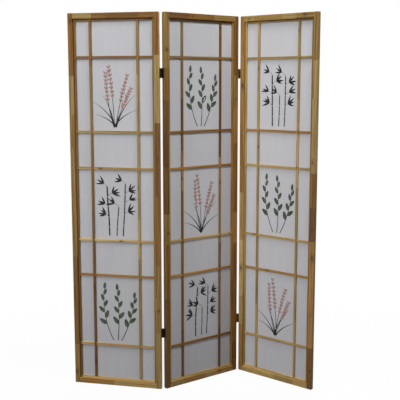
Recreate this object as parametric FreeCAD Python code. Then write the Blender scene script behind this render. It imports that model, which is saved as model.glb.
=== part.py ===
"""Three-panel wooden folding screen with a recessed lattice, paper sheets and butt hinges.

Every panel is drawn in a frame of its own: x runs across it from its left edge, y from its front face
to its back face and z up from the floor. The finished panels are then turned to the standing zigzag.
All lengths are in millimetres and all angles in degrees.
"""
import math
import os

import FreeCAD
import Part

# Panel frame
PANEL_WIDTH = 440.0
PANEL_HEIGHT = 1785.0
PANEL_DEPTH = 20.0
STILE_FACE = 24.0
RAIL_FACE = 26.0
FRAME_EASE = 1.2

# Rail tenons in the stiles
TENON_LENGTH = 12.0
TENON_DEPTH = 8.0
TENON_SHOULDER = 4.0
TENON_CLEARANCE = 0.1

# Lattice
LATTICE_RECESS = 7.0
LATTICE_DEPTH = 6.0
STRIP_FACE = 10.0
BAR_FACE = 11.0
BAR_EASE = 0.5
SIDE_CELL = 66.0
SHORT_CELL = 160.5
TALL_CELL_COUNT = 3
STUB_LENGTH = 4.0
STUB_DEPTH = 3.0
STUB_SHOULDER = 2.0
STUB_CLEARANCE = 0.1
LAP_CLEARANCE = 0.05

# Groove round the frame that holds the lattice border
GROOVE_REACH = 5.0
GROOVE_END_GAP = 0.3
GROOVE_SIDE_GAP = 0.1

# Paper glued to the back of the lattice
PAPER_THICKNESS = 0.4
PAPER_EDGE = 3.0

# Butt hinges
HINGE_HEIGHT = 45.0
HINGE_INSET = 275.0
HINGE_PIN = 3.6
HINGE_LEAF = 1.6
HINGE_REACH = 15.0
HINGE_STANDOFF = 3.0
HINGE_PIN_END = 0.8
KNUCKLE_COUNT = 5
KNUCKLE_GAP = 0.3
PIN_CLEARANCE = 0.03
BARREL_CLEARANCE = 0.3

# Countersunk screws, two in each leaf
SCREW_SHANK = 3.0
SCREW_HEAD = 5.6
SCREW_LENGTH = 14.0
SCREW_TIP = 3.0
SCREW_POINT = 0.8
SCREW_SLOT = 0.9
SCREW_SLOT_DEPTH = 0.8
SCREW_END_INSET = 11.0
SCREW_CLEARANCE = 0.05

# Standing zigzag: the turn of each panel about the vertical, anticlockwise from above
LEFT_TURN = -12.5
MIDDLE_TURN = 37.5
RIGHT_TURN = -40.0

# A rounded edge takes at most this share of the wall that it is on
LARGEST_EASE = 0.45

# Values that follow from the sizes above
BARREL = HINGE_PIN + 2 * HINGE_LEAF
PANEL_GAP = BARREL
LATTICE_BACK = LATTICE_RECESS + LATTICE_DEPTH
LATTICE_MIDDLE = LATTICE_RECESS + LATTICE_DEPTH / 2
TONGUE = GROOVE_REACH - GROOVE_END_GAP
OPENING_LEFT = STILE_FACE + STRIP_FACE
OPENING_RIGHT = PANEL_WIDTH - OPENING_LEFT
OPENING_BOTTOM = RAIL_FACE + STRIP_FACE
OPENING_TOP = PANEL_HEIGHT - OPENING_BOTTOM
UPRIGHT_CENTRES = (OPENING_LEFT + SIDE_CELL + BAR_FACE / 2, OPENING_RIGHT - SIDE_CELL - BAR_FACE / 2)

Z_AXIS = FreeCAD.Vector(0, 0, 1)


def block(x0, x1, y0, y1, z0, z1):
    """A box between two corners."""
    return Part.makeBox(x1 - x0, y1 - y0, z1 - z0, FreeCAD.Vector(x0, y0, z0))


def long_edges(solid):
    """The four longest straight edges of a box."""
    return sorted(solid.Edges, key=lambda edge: edge.Length)[-4:]


def eased(solid, radius, edges):
    """A box with its edges rounded, by no more than its thinnest wall allows."""
    box = solid.BoundBox
    wall = min(box.XLength, box.YLength, box.ZLength)
    return solid.makeFillet(min(radius, LARGEST_EASE * wall), edges)


def crossbar_centres():
    """Heights of the cross bars: short and tall cells take turns, with a short one at each end."""
    bars = 2 * TALL_CELL_COUNT
    short_cells = TALL_CELL_COUNT + 1
    clear = OPENING_TOP - OPENING_BOTTOM - bars * BAR_FACE
    tall_cell = (clear - short_cells * SHORT_CELL) / TALL_CELL_COUNT
    centres = []
    height = OPENING_BOTTOM
    for index in range(bars):
        height += SHORT_CELL if index % 2 == 0 else tall_cell
        centres.append(height + BAR_FACE / 2)
        height += BAR_FACE
    return centres


def rail_tenon_heights():
    """Lowest and highest point of the bottom rail's tenon."""
    return TENON_SHOULDER, RAIL_FACE - GROOVE_REACH - TENON_CLEARANCE


def tenon_depths(clearance):
    """Front and back of a rail tenon, or of its mortise."""
    middle = PANEL_DEPTH / 2
    return middle - TENON_DEPTH / 2 - clearance, middle + TENON_DEPTH / 2 + clearance


def groove_depths():
    """Front and back of the groove round the frame."""
    return LATTICE_RECESS - GROOVE_SIDE_GAP, LATTICE_BACK + GROOVE_SIDE_GAP


def turned_upside_down(solid):
    """The same piece at the other end of the panel."""
    return solid.mirror(FreeCAD.Vector(0, 0, PANEL_HEIGHT / 2), Z_AXIS)


def turned_left_to_right(solid):
    """The same piece at the other side of the panel."""
    return solid.mirror(FreeCAD.Vector(PANEL_WIDTH / 2, 0, 0), FreeCAD.Vector(1, 0, 0))


def stile():
    """Left stile: a full-height upright, grooved for the lattice and mortised for both rails."""
    solid = block(0, STILE_FACE, 0, PANEL_DEPTH, 0, PANEL_HEIGHT)
    solid = eased(solid, FRAME_EASE, solid.Edges)
    front, back = groove_depths()
    low = RAIL_FACE - GROOVE_REACH
    solid = solid.cut(block(STILE_FACE - GROOVE_REACH, STILE_FACE, front, back, low, PANEL_HEIGHT - low))
    bottom, top = rail_tenon_heights()
    front, back = tenon_depths(TENON_CLEARANCE)
    depth = STILE_FACE - TENON_LENGTH - TENON_CLEARANCE
    mortise = block(depth, STILE_FACE, front, back, bottom - TENON_CLEARANCE, top + TENON_CLEARANCE)
    return solid.cut([mortise, turned_upside_down(mortise)])


def rail():
    """Bottom rail: it butts between the stiles and has a tenon at each end and a groove on top."""
    left = STILE_FACE
    right = PANEL_WIDTH - STILE_FACE
    solid = block(left, right, 0, PANEL_DEPTH, 0, RAIL_FACE)
    solid = eased(solid, FRAME_EASE, long_edges(solid))
    front, back = groove_depths()
    solid = solid.cut(block(left, right, front, back, RAIL_FACE - GROOVE_REACH, RAIL_FACE))
    bottom, top = rail_tenon_heights()
    front, back = tenon_depths(0)
    tenon = block(left - TENON_LENGTH, left, front, back, bottom, top)
    return solid.fuse([tenon, turned_left_to_right(tenon)]).removeSplitter()


def stub_depths(clearance):
    """Front and back of the stub tenon at the end of a lattice bar, or of its mortise."""
    return LATTICE_MIDDLE - STUB_DEPTH / 2 - clearance, LATTICE_MIDDLE + STUB_DEPTH / 2 + clearance


def cross_stub(centre, face, clearance):
    """Stub tenon at the left end of a level bar, or the mortise that takes it."""
    half = face / 2 - STUB_SHOULDER + clearance
    front, back = stub_depths(clearance)
    end = OPENING_LEFT - STUB_LENGTH - clearance
    return block(end, OPENING_LEFT, front, back, centre - half, centre + half)


def upright_stub(centre, clearance):
    """Stub tenon at the foot of a lattice upright, or the mortise that takes it."""
    half = BAR_FACE / 2 - STUB_SHOULDER + clearance
    front, back = stub_depths(clearance)
    low = OPENING_BOTTOM - STUB_LENGTH - clearance
    return block(centre - half, centre + half, front, back, low, OPENING_BOTTOM)


def end_strip_centre():
    """Height of the middle of the bottom end strip."""
    return (RAIL_FACE - TONGUE + OPENING_BOTTOM) / 2


def side_strip():
    """Left side strip of the lattice border, with its outer edge in the stile's groove."""
    low = RAIL_FACE - TONGUE
    solid = block(STILE_FACE - TONGUE, OPENING_LEFT, LATTICE_RECESS, LATTICE_BACK, low, PANEL_HEIGHT - low)
    end_mortise = cross_stub(end_strip_centre(), STRIP_FACE + TONGUE, STUB_CLEARANCE)
    mortises = [end_mortise, turned_upside_down(end_mortise)]
    for centre in crossbar_centres():
        mortises.append(cross_stub(centre, BAR_FACE, STUB_CLEARANCE))
    return solid.cut(mortises)


def end_strip():
    """Bottom end strip of the lattice border, with its outer edge in the rail's groove."""
    low = RAIL_FACE - TONGUE
    solid = block(OPENING_LEFT, OPENING_RIGHT, LATTICE_RECESS, LATTICE_BACK, low, OPENING_BOTTOM)
    stub = cross_stub(end_strip_centre(), STRIP_FACE + TONGUE, 0)
    solid = solid.fuse([stub, turned_left_to_right(stub)]).removeSplitter()
    return solid.cut([upright_stub(centre, STUB_CLEARANCE) for centre in UPRIGHT_CENTRES])


def lap_window(x_centre, z_centre, in_front):
    """The half of a bar that is cut away where an upright and a cross bar pass through each other."""
    half = BAR_FACE / 2 + LAP_CLEARANCE
    front = LATTICE_RECESS if in_front else LATTICE_MIDDLE
    back = LATTICE_MIDDLE if in_front else LATTICE_BACK
    return block(x_centre - half, x_centre + half, front, back, z_centre - half, z_centre + half)


def upright(x_centre):
    """Lattice upright, halved at the back where the cross bars pass."""
    half = BAR_FACE / 2
    solid = block(x_centre - half, x_centre + half, LATTICE_RECESS, LATTICE_BACK, OPENING_BOTTOM, OPENING_TOP)
    solid = eased(solid, BAR_EASE, long_edges(solid))
    stub = upright_stub(x_centre, 0)
    solid = solid.fuse([stub, turned_upside_down(stub)]).removeSplitter()
    return solid.cut([lap_window(x_centre, z_centre, False) for z_centre in crossbar_centres()])


def crossbar(z_centre):
    """Lattice cross bar, halved at the front where the uprights pass."""
    half = BAR_FACE / 2
    solid = block(OPENING_LEFT, OPENING_RIGHT, LATTICE_RECESS, LATTICE_BACK, z_centre - half, z_centre + half)
    solid = eased(solid, BAR_EASE, long_edges(solid))
    stub = cross_stub(z_centre, BAR_FACE, 0)
    solid = solid.fuse([stub, turned_left_to_right(stub)]).removeSplitter()
    return solid.cut([lap_window(x_centre, z_centre, True) for x_centre in UPRIGHT_CENTRES])


def paper_sheet():
    """Paper on the back of the lattice, stopping just short of the frame."""
    left = STILE_FACE + PAPER_EDGE
    low = RAIL_FACE + PAPER_EDGE
    back = LATTICE_BACK + PAPER_THICKNESS
    return block(left, PANEL_WIDTH - left, LATTICE_BACK, back, low, PANEL_HEIGHT - low)


def hinge_centres():
    """Heights of the middle of the lower and the upper hinge."""
    return {"lower": HINGE_INSET, "upper": PANEL_HEIGHT - HINGE_INSET}


def knuckle_heights(index):
    """Lowest and highest point of one knuckle, from the middle of the hinge."""
    pitch = HINGE_HEIGHT / KNUCKLE_COUNT
    low = -HINGE_HEIGHT / 2 + index * pitch
    gap_below = KNUCKLE_GAP / 2 if index > 0 else 0
    gap_above = KNUCKLE_GAP / 2 if index < KNUCKLE_COUNT - 1 else 0
    return low + gap_below, low + pitch - gap_above


def screw_places():
    """Height and distance from the pin of each screw of a leaf, from the middle of the hinge."""
    across = HINGE_STANDOFF + HINGE_REACH / 2
    along = HINGE_HEIGHT / 2 - SCREW_END_INSET
    return [(along, across), (-along, across)]


def screw_cone(radius_grown):
    """Countersunk head of a screw that is driven along -x, with its face at x = 0."""
    top = SCREW_HEAD / 2 + radius_grown
    foot = SCREW_SHANK / 2 + radius_grown
    return Part.makeCone(top, foot, top - foot, FreeCAD.Vector(0, 0, 0), FreeCAD.Vector(-1, 0, 0))


def screw():
    """Countersunk wood screw along -x, with its face at x = 0 and a crossed slot."""
    towards_wood = FreeCAD.Vector(-1, 0, 0)
    shank_length = SCREW_LENGTH - SCREW_TIP
    shank = Part.makeCylinder(SCREW_SHANK / 2, shank_length, FreeCAD.Vector(0, 0, 0), towards_wood)
    tip_start = FreeCAD.Vector(-shank_length, 0, 0)
    tip = Part.makeCone(SCREW_SHANK / 2, SCREW_POINT / 2, SCREW_TIP, tip_start, towards_wood)
    body = screw_cone(0).fuse([shank, tip]).removeSplitter()
    slot_half = SCREW_SLOT / 2
    arm = SCREW_SHANK / 2
    upright_slot = block(-SCREW_SLOT_DEPTH, 0, -slot_half, slot_half, -arm, arm)
    level_slot = block(-SCREW_SLOT_DEPTH, 0, -arm, arm, -slot_half, slot_half)
    return body.cut([upright_slot, level_slot])


def screw_hole():
    """Hole for one screw through the leaf and into the wood."""
    towards_wood = FreeCAD.Vector(-1, 0, 0)
    length = SCREW_LENGTH + SCREW_CLEARANCE
    start = FreeCAD.Vector(0, 0, 0)
    shank = Part.makeCylinder(SCREW_SHANK / 2 + SCREW_CLEARANCE, length, start, towards_wood)
    return screw_cone(SCREW_CLEARANCE).fuse(shank)


def hinge_leaf(knuckle_indices):
    """Leaf on the face x = -BARREL / 2, with the pin on the z axis and the wood towards -x.

    The leaf reaches along +y into the panel's depth, and the given knuckles roll round the pin.
    """
    outer = BARREL / 2
    reach = HINGE_STANDOFF + HINGE_REACH
    plate = block(-outer, -outer + HINGE_LEAF, 0, reach, -HINGE_HEIGHT / 2, HINGE_HEIGHT / 2)
    clear_radius = outer + BARREL_CLEARANCE
    knuckles = []
    windows = []
    for index in range(KNUCKLE_COUNT):
        low, high = knuckle_heights(index)
        if index in knuckle_indices:
            knuckles.append(Part.makeCylinder(outer, high - low, FreeCAD.Vector(0, 0, low), Z_AXIS))
        else:
            low -= KNUCKLE_GAP
            high += KNUCKLE_GAP
            windows.append(Part.makeCylinder(clear_radius, high - low, FreeCAD.Vector(0, 0, low), Z_AXIS))
    leaf = plate.cut(windows).fuse(knuckles).removeSplitter()
    bore_radius = HINGE_PIN / 2 + PIN_CLEARANCE
    bore_low = FreeCAD.Vector(0, 0, -HINGE_HEIGHT)
    bore = Part.makeCylinder(bore_radius, 2 * HINGE_HEIGHT, bore_low, Z_AXIS)
    return leaf.cut([bore] + placed_in_leaf(screw_hole()))


def placed_in_leaf(piece):
    """Copies of a screw, or of its hole, at each screw place of a leaf."""
    face = -BARREL / 2 + HINGE_LEAF
    return [piece.translated(FreeCAD.Vector(face, across, along)) for along, across in screw_places()]


def hinge_pin():
    """Hinge pin with softly rounded ends that stand out of the barrel."""
    length = HINGE_HEIGHT + 2 * HINGE_PIN_END
    pin = Part.makeCylinder(HINGE_PIN / 2, length, FreeCAD.Vector(0, 0, -length / 2), Z_AXIS)
    rims = [edge for edge in pin.Edges if edge.Closed]
    return pin.makeFillet(min(HINGE_PIN_END, LARGEST_EASE * HINGE_PIN), rims)


def on_side(piece, side, pin_at_back, height):
    """A hinge piece moved from the hinge's frame to the left or right end of a panel."""
    moved = piece
    if side == "left":
        moved = moved.mirror(FreeCAD.Vector(0, 0, 0), FreeCAD.Vector(1, 0, 0))
    if pin_at_back:
        moved = moved.mirror(FreeCAD.Vector(0, 0, 0), FreeCAD.Vector(0, 1, 0))
    return moved.translated(pin_place(side, pin_at_back, height))


def pin_place(side, pin_at_back, height):
    """Where a hinge pin stands, in the panel's frame."""
    across = -PANEL_GAP / 2 if side == "left" else PANEL_WIDTH + PANEL_GAP / 2
    deep = PANEL_DEPTH + HINGE_STANDOFF if pin_at_back else -HINGE_STANDOFF
    return FreeCAD.Vector(across, deep, height)


def panel_pieces(name):
    """The wooden pieces and the paper of one panel, by node name."""
    left_stile = stile()
    bottom_rail = rail()
    left_strip = side_strip()
    bottom_strip = end_strip()
    pieces = {
        name + "_left_stile": left_stile,
        name + "_right_stile": turned_left_to_right(left_stile),
        name + "_bottom_rail": bottom_rail,
        name + "_top_rail": turned_upside_down(bottom_rail),
        name + "_lattice_side_strips": Part.makeCompound([left_strip, turned_left_to_right(left_strip)]),
        name + "_lattice_end_strips": Part.makeCompound([bottom_strip, turned_upside_down(bottom_strip)]),
        name + "_paper_sheet": paper_sheet(),
    }
    for side, x_centre in zip(("left", "right"), UPRIGHT_CENTRES):
        pieces[name + "_lattice_" + side + "_upright"] = upright(x_centre)
    for index, z_centre in enumerate(crossbar_centres(), start=1):
        pieces[name + "_lattice_crossbar_" + str(index)] = crossbar(z_centre)
    return pieces


def add_leaves(pieces, name, joint, side, pin_at_back, knuckle_indices):
    """Put one leaf of each hinge of a joint on a panel, and drill its stile for the screws."""
    leaf = hinge_leaf(knuckle_indices)
    stile_name = name + "_" + side + "_stile"
    screws = []
    holes = []
    for level, height in hinge_centres().items():
        leaf_name = joint + "_" + level + "_hinge_" + name + "_leaf"
        pieces[leaf_name] = on_side(leaf, side, pin_at_back, height)
        for piece in placed_in_leaf(screw()):
            screws.append(on_side(piece, side, pin_at_back, height))
        for hole in placed_in_leaf(screw_hole()):
            holes.append(on_side(hole, side, pin_at_back, height))
    pieces[stile_name] = pieces[stile_name].cut(holes)
    return screws


def add_pins(pieces, joint, side, pin_at_back):
    """Put the pins of one joint's hinges on a panel."""
    for level, height in hinge_centres().items():
        pieces[joint + "_" + level + "_hinge_pin"] = on_side(hinge_pin(), side, pin_at_back, height)


def turn(angle, x, y):
    """A point of the floor plan turned about the origin."""
    cosine = math.cos(math.radians(angle))
    sine = math.sin(math.radians(angle))
    return x * cosine - y * sine, x * sine + y * cosine


def corner_for(angle, pin_world, pin_local):
    """Where a turned panel's own origin lies when its hinge pin stands at a given place."""
    x, y = turn(angle, pin_local.x, pin_local.y)
    return pin_world[0] - x, pin_world[1] - y


def standing(pieces, angle, corner):
    """Panel pieces turned and moved to their place in the zigzag."""
    placement = FreeCAD.Placement(FreeCAD.Vector(corner[0], corner[1], 0), FreeCAD.Rotation(Z_AXIS, angle))
    moved = {}
    for name, piece in pieces.items():
        copy = piece.copy()
        copy.Placement = placement.multiply(copy.Placement)
        moved[name] = copy
    return moved


def screen():
    """All pieces of the standing screen, and the places of the two hinge lines."""
    outer_knuckles = range(0, KNUCKLE_COUNT, 2)
    inner_knuckles = range(1, KNUCKLE_COUNT, 2)
    left = panel_pieces("left")
    middle = panel_pieces("middle")
    right = panel_pieces("right")

    left["left_hinge_screws"] = Part.makeCompound(
        add_leaves(left, "left", "left", "right", True, inner_knuckles))
    middle_screws = add_leaves(middle, "middle", "left", "left", True, outer_knuckles)
    middle_screws += add_leaves(middle, "middle", "right", "right", False, outer_knuckles)
    middle["middle_hinge_screws"] = Part.makeCompound(middle_screws)
    right["right_hinge_screws"] = Part.makeCompound(
        add_leaves(right, "right", "right", "left", False, inner_knuckles))
    add_pins(middle, "left", "left", True)
    add_pins(middle, "right", "right", False)

    left_pin = pin_place("left", True, 0)
    right_pin = pin_place("right", False, 0)
    left_line = turn(MIDDLE_TURN, left_pin.x, left_pin.y)
    right_line = turn(MIDDLE_TURN, right_pin.x, right_pin.y)
    left_corner = corner_for(LEFT_TURN, left_line, pin_place("right", True, 0))
    right_corner = corner_for(RIGHT_TURN, right_line, pin_place("left", False, 0))
    pieces = {}
    pieces.update(standing(left, LEFT_TURN, left_corner))
    pieces.update(standing(middle, MIDDLE_TURN, (0, 0)))
    pieces.update(standing(right, RIGHT_TURN, right_corner))
    return pieces, left_line, right_line


def centred(pieces, lines):
    """Pieces and hinge lines moved so that the origin is under the middle of the whole screen."""
    box = Part.makeCompound(list(pieces.values())).optimalBoundingBox(False, False)
    shift = FreeCAD.Vector(-box.Center.x, -box.Center.y, -box.ZMin)
    moved = {name: piece.translated(shift) for name, piece in pieces.items()}
    return moved, [(line[0] + shift.x, line[1] + shift.y) for line in lines]


def main():
    pieces, left_line, right_line = screen()
    pieces, lines = centred(pieces, (left_line, right_line))
    os.makedirs("parts", exist_ok=True)
    for name, piece in pieces.items():
        piece.exportStep(os.path.join("parts", name + ".step"))
    box = Part.makeCompound(list(pieces.values())).optimalBoundingBox(False, False)
    print("nodes", len(pieces))
    print("overall size", round(box.XLength, 2), round(box.YLength, 2), round(box.ZLength, 2))
    for joint, line in zip(("left", "right"), lines):
        print(joint, "hinge line at", round(line[0], 4), round(line[1], 4))


main()
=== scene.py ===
"""Finishes a three-panel folding screen: honey pine, paper, ink prints, black hinges and a plain stage."""
import math
import random
from typing import NamedTuple

import bpy
import numpy as np
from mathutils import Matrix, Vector


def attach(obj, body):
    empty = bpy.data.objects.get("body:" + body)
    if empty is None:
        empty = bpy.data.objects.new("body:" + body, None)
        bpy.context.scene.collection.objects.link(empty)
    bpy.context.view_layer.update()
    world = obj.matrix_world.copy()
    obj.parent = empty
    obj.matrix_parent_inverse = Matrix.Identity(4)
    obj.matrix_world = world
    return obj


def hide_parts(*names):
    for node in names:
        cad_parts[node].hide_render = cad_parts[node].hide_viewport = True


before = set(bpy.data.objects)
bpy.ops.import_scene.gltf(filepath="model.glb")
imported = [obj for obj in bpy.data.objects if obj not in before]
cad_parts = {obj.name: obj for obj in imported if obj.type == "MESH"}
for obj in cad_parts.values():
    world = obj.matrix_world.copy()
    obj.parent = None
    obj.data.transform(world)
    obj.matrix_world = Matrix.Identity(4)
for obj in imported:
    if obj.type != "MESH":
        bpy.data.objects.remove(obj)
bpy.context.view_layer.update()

bl_info = {
    "name": "Folding screen finish",
    "version": (1, 0, 0),
    "blender": (4, 5, 0),
    "location": "View3D > Sidebar > Folding screen",
    "description": "Pine, paper, ink prints and black hinges for a three-panel folding screen",
    "category": "Object",
}

PANEL_NAMES = ("left", "middle", "right")
CROSSBARS = range(1, 7)
HINGE_JOINTS = {"left": ("left", "middle"), "right": ("middle", "right")}


# Sizes and colours that a user would change

def colour_property(name, description, default):
    """A plain colour with a name, a description and a default."""
    return bpy.props.FloatVectorProperty(
        name=name, description=description, subtype="COLOR", size=3, min=0.0, max=1.0, default=default)


def number_property(name, description, default, **kind):
    """A number from 0 up with a name, a description, a default and what kind it is."""
    return bpy.props.FloatProperty(name=name, description=description, min=0.0, default=default, **kind)


def length_property(name, description, default):
    """A length in metres."""
    return number_property(name, description, default, unit="LENGTH")


def share_property(name, description, default):
    """A share from 0 to 1."""
    return number_property(name, description, default, subtype="FACTOR", max=1.0)


def power_property(name, description, default):
    """A lamp's power in watts."""
    return number_property(name, description, default, subtype="POWER")


def angle_property(name, description, degrees):
    """An angle, given in degrees."""
    return bpy.props.FloatProperty(
        name=name, description=description, subtype="ANGLE", default=math.radians(degrees))


class PineFinish(bpy.types.PropertyGroup):
    """Colours and figure of the pine."""
    umber: colour_property("Umber", "Tone of the darkest blocks", (0.155, 0.072, 0.017))
    russet: colour_property("Russet", "Tone of the darker blocks", (0.215, 0.105, 0.023))
    honey: colour_property("Honey", "Common tone of the pine", (0.262, 0.162, 0.045))
    amber: colour_property("Amber", "Tone of the warmer blocks", (0.330, 0.175, 0.045))
    straw: colour_property("Straw", "Tone of the paler blocks", (0.320, 0.222, 0.078))
    pale: colour_property("Pale", "Tone of the palest blocks", (0.425, 0.285, 0.100))
    cream: colour_property("Cream", "Tone of the palest strips", (0.560, 0.385, 0.150))
    knot: colour_property("Knot", "Heart of a knot", (0.050, 0.022, 0.008))
    ring_spacing: length_property("Ring spacing", "Width of one year ring on a flat face", 0.008)
    roughness: share_property("Roughness", "Roughness of the satin varnish", 0.42)


class PaperFinish(bpy.types.PropertyGroup):
    """Colour and relief of the paper."""
    colour: colour_property("Paper", "Colour of the paper", (0.556, 0.553, 0.576))
    bulge: length_property("Bulge", "How far the paper may swell within a cell", 0.0004)
    ripple: length_property("Ripple", "Height of the slanting ripples in the paper", 0.00024)
    fibre: share_property("Fibre", "Strength of the fibres in the paper", 0.07)


class PrintFinish(bpy.types.PropertyGroup):
    """Inks of the prints and the size of their strokes."""
    black: colour_property("Black ink", "Ink of stems and blades", (0.007, 0.007, 0.006))
    green: colour_property("Green ink", "Ink of the leaves", (0.034, 0.056, 0.024))
    rose: colour_property("Rose ink", "Ink of the seed heads", (0.360, 0.180, 0.150))
    pale: colour_property("Pale ink", "Ink of the leaf veins", (0.200, 0.230, 0.160))
    stroke_step: length_property("Stroke step", "Distance between the points of a stroke", 0.004)
    lift: length_property("Lift", "How far the ink stands in front of the paper", 0.00006)


class HingeFinish(bpy.types.PropertyGroup):
    """Paint of the hinges and their screws."""
    black: colour_property("Black paint", "Colour of the painted steel", (0.007, 0.006, 0.005))
    worn: colour_property("Worn steel", "Colour where the paint has rubbed thin", (0.090, 0.072, 0.055))
    roughness: share_property("Roughness", "Roughness of the paint", 0.42)


class StageSettings(bpy.types.PropertyGroup):
    """Floor, lamps and camera."""
    floor: colour_property("Floor", "Colour of the floor where it is seen", (0.80, 0.80, 0.80))
    floor_bounce: colour_property(
        "Floor bounce", "Colour of the light that the floor throws back", (0.12, 0.12, 0.125))
    fill: share_property("Fill", "Strength of the light from all round", 0.08)
    left: power_property("Left lamp", "Power of the ceiling lamp on the left", 48.0)
    low: power_property("Low lamp", "Power of the broad lamp low on the left", 12.8)
    front: power_property("Front lamp", "Power of the narrow lamp in front, half way up", 0.3)
    overhead: power_property("Overhead lamp", "Power of the ceiling lamp near the screen", 20.7)
    right: power_property("Right lamp", "Power of the ceiling lamp on the right", 3.4)
    rear: power_property("Rear lamp", "Power of the lamp behind the screen", 55.0)
    camera_place: bpy.props.FloatVectorProperty(
        name="Camera", description="Where the camera stands", subtype="XYZ", unit="LENGTH", size=3,
        default=(0.0395, -3.8315, 1.4605))
    camera_pitch: angle_property("Pitch", "How far the camera looks down", 8.260)
    camera_yaw: angle_property("Yaw", "How far the camera looks to the right", -0.072)
    camera_lens: bpy.props.FloatProperty(
        name="Lens", description="Focal length on a 36 mm sensor", unit="CAMERA", default=71.917)


class ScreenSettings(bpy.types.PropertyGroup):
    """All the settings of the folding screen."""
    pine: bpy.props.PointerProperty(type=PineFinish)
    paper: bpy.props.PointerProperty(type=PaperFinish)
    prints: bpy.props.PointerProperty(type=PrintFinish)
    hinges: bpy.props.PointerProperty(type=HingeFinish)
    stage: bpy.props.PointerProperty(type=StageSettings)


# Node trees written as arithmetic

def forward(operation):
    """An operator with the value on its left."""
    return lambda value, other: value.math(operation, value, other)


def reflected(operation):
    """The same operator with the value on its right."""
    return lambda value, other: value.math(operation, other, value)


class Value:
    """The output of a node, which takes part in ordinary arithmetic."""
    __add__ = forward("ADD")
    __radd__ = reflected("ADD")
    __sub__ = forward("SUBTRACT")
    __rsub__ = reflected("SUBTRACT")
    __mul__ = forward("MULTIPLY")
    __rmul__ = reflected("MULTIPLY")
    __truediv__ = forward("DIVIDE")
    __rtruediv__ = reflected("DIVIDE")
    __pow__ = forward("POWER")
    __rpow__ = reflected("POWER")

    def __init__(self, sheet, socket):
        self.sheet = sheet
        self.socket = socket

    def out(self, name):
        """Another output of the same node."""
        return Value(self.sheet, self.socket.node.outputs[name])

    def math(self, operation, *terms):
        """One Math node on these terms."""
        return self.sheet.add("ShaderNodeMath", {"operation": operation}, dict(enumerate(terms)))

    def __abs__(self):
        return self.math("ABSOLUTE", self)

    def floor(self):
        """The whole number below."""
        return self.math("FLOOR", self)

    def fraction(self):
        """What is left above the whole number below."""
        return self.math("FRACT", self)

    def larger(self, other):
        """The larger of two values."""
        return self.math("MAXIMUM", self, other)

    def above(self, limit):
        """1 where the value is above the limit, else 0."""
        return self.math("GREATER_THAN", self, limit)

    def smooth(self, start, end):
        """A soft step from 0 at start to 1 at end."""
        return self.sheet.add(
            "ShaderNodeMapRange", {"interpolation_type": "SMOOTHSTEP"},
            {"Value": self, "From Min": start, "From Max": end})


class NodeSheet:
    """A node tree with one way to add a node and feed its sockets."""

    def __init__(self, tree):
        self.tree = tree

    def add(self, kind, settings=None, sockets=None, output=0):
        """Adds a node: its settings first, then what feeds its sockets."""
        node = self.tree.nodes.new(kind)
        for name, setting in (settings or {}).items():
            if name == "stops":
                self.set_stops(node.color_ramp, setting)
            else:
                setattr(node, name, setting)
        for name, value in (sockets or {}).items():
            self.feed(node.inputs[name], value)
        if not node.outputs:
            return None
        return Value(self, node.outputs[output])

    def feed(self, socket, value):
        """Links a value to a socket, or sets the socket to a plain number, colour or name."""
        if isinstance(value, Value):
            self.tree.links.new(value.socket, socket)
        elif isinstance(value, (list, tuple)) and isinstance(value[0], Value):
            for single in value:
                self.tree.links.new(single.socket, socket)
        else:
            socket.default_value = value

    def set_stops(self, ramp, stops):
        """Gives a ramp hard steps of colour, each from its place on."""
        ramp.interpolation = "CONSTANT"
        ramp.elements.remove(ramp.elements[1])
        for place, colour in stops[1:]:
            ramp.elements.new(place).color = colour
        ramp.elements[0].position, ramp.elements[0].color = stops[0]

    def vector(self, x, y, z):
        """A vector of three values."""
        return self.add("ShaderNodeCombineXYZ", None, {"X": x, "Y": y, "Z": z})

    def split(self, vector):
        """The three values of a vector."""
        parts = self.add("ShaderNodeSeparateXYZ", None, {"Vector": vector})
        return [parts.out(axis) for axis in "XYZ"]

    def luck(self, block, board, key):
        """Three values from 0 to 1 that stay the same for a block of a board and a key."""
        place = self.vector(block, board, key)
        chance = self.add("ShaderNodeTexWhiteNoise", {"noise_dimensions": "3D"}, {"Vector": place}, "Color")
        return self.split(chance)

    def noise(self, vector, detail=2.0, roughness=0.5, scale=1.0):
        """Soft noise from 0 to 1."""
        return self.add(
            "ShaderNodeTexNoise", None,
            {"Vector": vector, "Scale": scale, "Detail": detail, "Roughness": roughness})

    def mix(self, share, first, second, blend="MIX"):
        """Two colours mixed by a share."""
        return self.add(
            "ShaderNodeMix", {"data_type": "RGBA", "blend_type": blend},
            {0: share, 6: opaque(first), 7: opaque(second)}, 2)

    def scaled(self, colour, amount):
        """A colour made lighter or darker by a value."""
        return self.add("ShaderNodeVectorMath", {"operation": "SCALE"}, {0: colour, "Scale": amount})

    def bump(self, height, strength, distance):
        """A normal bent by a height."""
        return self.add(
            "ShaderNodeBump", None, {"Height": height, "Strength": strength, "Distance": distance}, "Normal")


def opaque(colour):
    """A plain colour with full alpha; a linked colour stays as it is."""
    if isinstance(colour, Value):
        return colour
    return (*colour, 1.0)


def new_material(name):
    """An empty material and its node sheet."""
    material = bpy.data.materials.new(name)
    material.use_nodes = True
    material.node_tree.nodes.clear()
    return material, NodeSheet(material.node_tree)


def finish_material(sheet, shader):
    """Sends a shader to the material's output."""
    sheet.add("ShaderNodeOutputMaterial", None, {"Surface": shader})


def finish_surface(sheet, specular, sockets):
    """Sends one Principled shader with these sockets to the material's output."""
    shader = sheet.add("ShaderNodeBsdfPrincipled", None, {"Specular IOR Level": specular, **sockets})
    finish_material(sheet, shader)


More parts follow.
